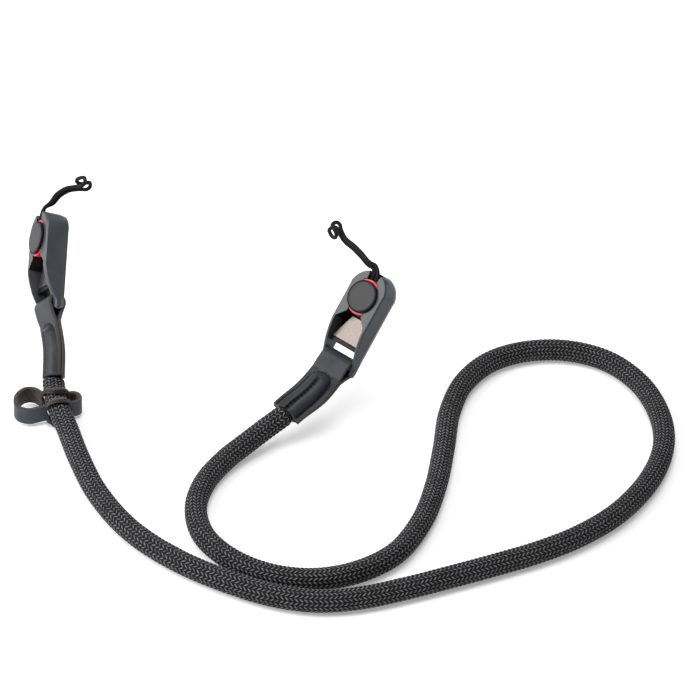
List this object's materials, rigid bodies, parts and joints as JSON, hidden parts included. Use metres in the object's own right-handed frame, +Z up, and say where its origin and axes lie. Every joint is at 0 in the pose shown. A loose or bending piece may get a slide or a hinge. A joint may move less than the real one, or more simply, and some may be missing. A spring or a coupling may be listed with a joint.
{
  "type": "rope camera strap",
  "caption": "Round braided rope camera strap with quick-release ends on thin anchor cords, stitched leather tabs and a leather ring keeper",
  "frame": {"origin": "the eyelet that the right anchor cord is hitched round; the table lies 71.2 mm below it", "axes": "+X to the picture's right, +Y away from the viewer along the table, +Z up"},
  "size_m": [0.3002, 0.2087, 0.0752],
  "materials": {
    "braided_rope": "matte black braid",
    "thin_cord": "fine black braid",
    "tab_leather": "smooth charcoal leather",
    "keeper_leather": "smooth outside, rough inside",
    "slate_plastic": "satin moulded plastic",
    "cap_plastic": "satin moulded plastic",
    "red_plastic": "smooth red plastic",
    "spring_steel": "satin spring steel"
  },
  "bodies": {
    "root": {"rope": "braided_rope", "rope_keeper": "keeper_leather", "right_housing": "slate_plastic", "right_spring_plate": "spring_steel", "right_anchor_cap": "cap_plastic", "right_anchor_core": "red_plastic", "right_anchor_cord": "thin_cord", "right_leather_tab": "tab_leather", "left_housing": "slate_plastic", "left_spring_plate": "spring_steel", "left_anchor_cap": "cap_plastic", "left_anchor_core": "red_plastic", "left_anchor_cord": "thin_cord", "left_leather_tab": "tab_leather"}
  },
  "joints": []
}
